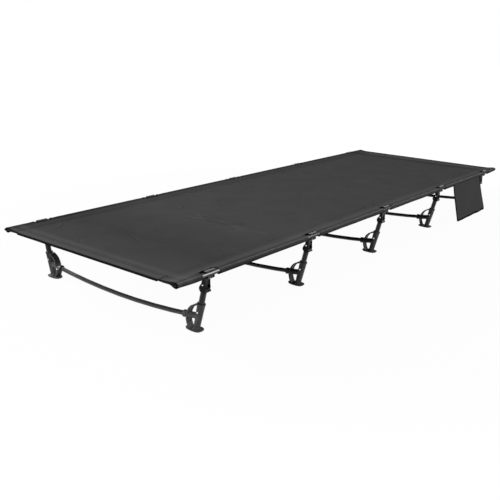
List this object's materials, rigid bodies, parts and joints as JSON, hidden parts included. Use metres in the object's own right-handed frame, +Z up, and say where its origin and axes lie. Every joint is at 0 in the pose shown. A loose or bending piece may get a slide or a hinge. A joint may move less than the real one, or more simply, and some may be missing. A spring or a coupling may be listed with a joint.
{
  "type": "folding camp bed",
  "caption": "Low camp bed: taut cloth deck on two side rails, held by bowed crossbars, moulded feet, short struts and lever clamps, with a cloth pocket on one rail.",
  "frame": {"origin": "on the ground under the middle of the bed", "axes": "+X along the bed to its head end, +Z up, -Y to the side that carries the pocket"},
  "size_m": [1.9, 0.6781, 0.1619],
  "materials": {
    "cloth": "matt woven",
    "black_tube": "black anodised",
    "black_moulding": "fine moulded",
    "bright_rivet": "bright"
  },
  "bodies": {
    "bed": {"side_rail_left": "black_tube", "foot_left_1": "black_moulding", "leg_tube_left_1": "black_tube", "rail_hook_left_1": "black_moulding", "lever_pin_left_1": "bright_rivet", "foot_left_2": "black_moulding", "leg_tube_left_2": "black_tube", "rail_hook_left_2": "black_moulding", "lever_pin_left_2": "bright_rivet", "foot_left_3": "black_moulding", "leg_tube_left_3": "black_tube", "rail_hook_left_3": "black_moulding", "lever_pin_left_3": "bright_rivet", "foot_left_4": "black_moulding", "leg_tube_left_4": "black_tube", "rail_hook_left_4": "black_moulding", "lever_pin_left_4": "bright_rivet", "foot_left_5": "black_moulding", "leg_tube_left_5": "black_tube", "rail_hook_left_5": "black_moulding", "lever_pin_left_5": "bright_rivet", "side_rail_right": "black_tube", "foot_right_1": "black_moulding", "leg_tube_right_1": "black_tube", "rail_hook_right_1": "black_moulding", "lever_pin_right_1": "bright_rivet", "foot_right_2": "black_moulding", "leg_tube_right_2": "black_tube", "rail_hook_right_2": "black_moulding", "lever_pin_right_2": "bright_rivet", "foot_right_3": "black_moulding", "leg_tube_right_3": "black_tube", "rail_hook_right_3": "black_moulding", "lever_pin_right_3": "bright_rivet", "foot_right_4": "black_moulding", "leg_tube_right_4": "black_tube", "rail_hook_right_4": "black_moulding", "lever_pin_right_4": "bright_rivet", "foot_right_5": "black_moulding", "leg_tube_right_5": "black_tube", "rail_hook_right_5": "black_moulding", "lever_pin_right_5": "bright_rivet", "crossbar_1": "black_tube", "crossbar_2": "black_tube", "crossbar_3": "black_tube", "crossbar_4": "black_tube", "crossbar_5": "black_tube", "deck": "cloth"},
    "clamp_lever_left_1_body": {"clamp_lever_left_1": "black_moulding"},
    "clamp_lever_left_2_body": {"clamp_lever_left_2": "black_moulding"},
    "clamp_lever_left_3_body": {"clamp_lever_left_3": "black_moulding"},
    "clamp_lever_left_4_body": {"clamp_lever_left_4": "black_moulding"},
    "clamp_lever_left_5_body": {"clamp_lever_left_5": "black_moulding"},
    "clamp_lever_right_1_body": {"clamp_lever_right_1": "black_moulding"},
    "clamp_lever_right_2_body": {"clamp_lever_right_2": "black_moulding"},
    "clamp_lever_right_3_body": {"clamp_lever_right_3": "black_moulding"},
    "clamp_lever_right_4_body": {"clamp_lever_right_4": "black_moulding"},
    "clamp_lever_right_5_body": {"clamp_lever_right_5": "black_moulding"},
    "side_pocket_body": {"side_pocket": "cloth"}
  },
  "joints": [
    {"name": "lever_left_1_pivot", "type": "hinge", "parent": "bed", "child": "clamp_lever_left_1_body", "pos_m": [-0.836, 0.309, 0.1235], "axis": [1, 0, 0], "range_deg": [0, 90]},
    {"name": "lever_left_2_pivot", "type": "hinge", "parent": "bed", "child": "clamp_lever_left_2_body", "pos_m": [-0.418, 0.309, 0.1235], "axis": [1, 0, 0], "range_deg": [0, 90]},
    {"name": "lever_left_3_pivot", "type": "hinge", "parent": "bed", "child": "clamp_lever_left_3_body", "pos_m": [0, 0.309, 0.1235], "axis": [1, 0, 0], "range_deg": [0, 90]},
    {"name": "lever_left_4_pivot", "type": "hinge", "parent": "bed", "child": "clamp_lever_left_4_body", "pos_m": [0.418, 0.309, 0.1235], "axis": [1, 0, 0], "range_deg": [0, 90]},
    {"name": "lever_left_5_pivot", "type": "hinge", "parent": "bed", "child": "clamp_lever_left_5_body", "pos_m": [0.836, 0.309, 0.1235], "axis": [1, 0, 0], "range_deg": [0, 90]},
    {"name": "lever_right_1_pivot", "type": "hinge", "parent": "bed", "child": "clamp_lever_right_1_body", "pos_m": [-0.836, -0.309, 0.1235], "axis": [-1, 0, 0], "range_deg": [0, 90]},
    {"name": "lever_right_2_pivot", "type": "hinge", "parent": "bed", "child": "clamp_lever_right_2_body", "pos_m": [-0.418, -0.309, 0.1235], "axis": [-1, 0, 0], "range_deg": [0, 90]},
    {"name": "lever_right_3_pivot", "type": "hinge", "parent": "bed", "child": "clamp_lever_right_3_body", "pos_m": [0, -0.309, 0.1235], "axis": [-1, 0, 0], "range_deg": [0, 90]},
    {"name": "lever_right_4_pivot", "type": "hinge", "parent": "bed", "child": "clamp_lever_right_4_body", "pos_m": [0.418, -0.309, 0.1235], "axis": [-1, 0, 0], "range_deg": [0, 90]},
    {"name": "lever_right_5_pivot", "type": "hinge", "parent": "bed", "child": "clamp_lever_right_5_body", "pos_m": [0.836, -0.309, 0.1235], "axis": [-1, 0, 0], "range_deg": [0, 90]},
    {"name": "pocket_swing", "type": "hinge", "parent": "bed", "child": "side_pocket_body", "pos_m": [0.645, -0.3302, 0.1528], "axis": [-1, 0, 0], "range_deg": [0, 75]}
  ]
}
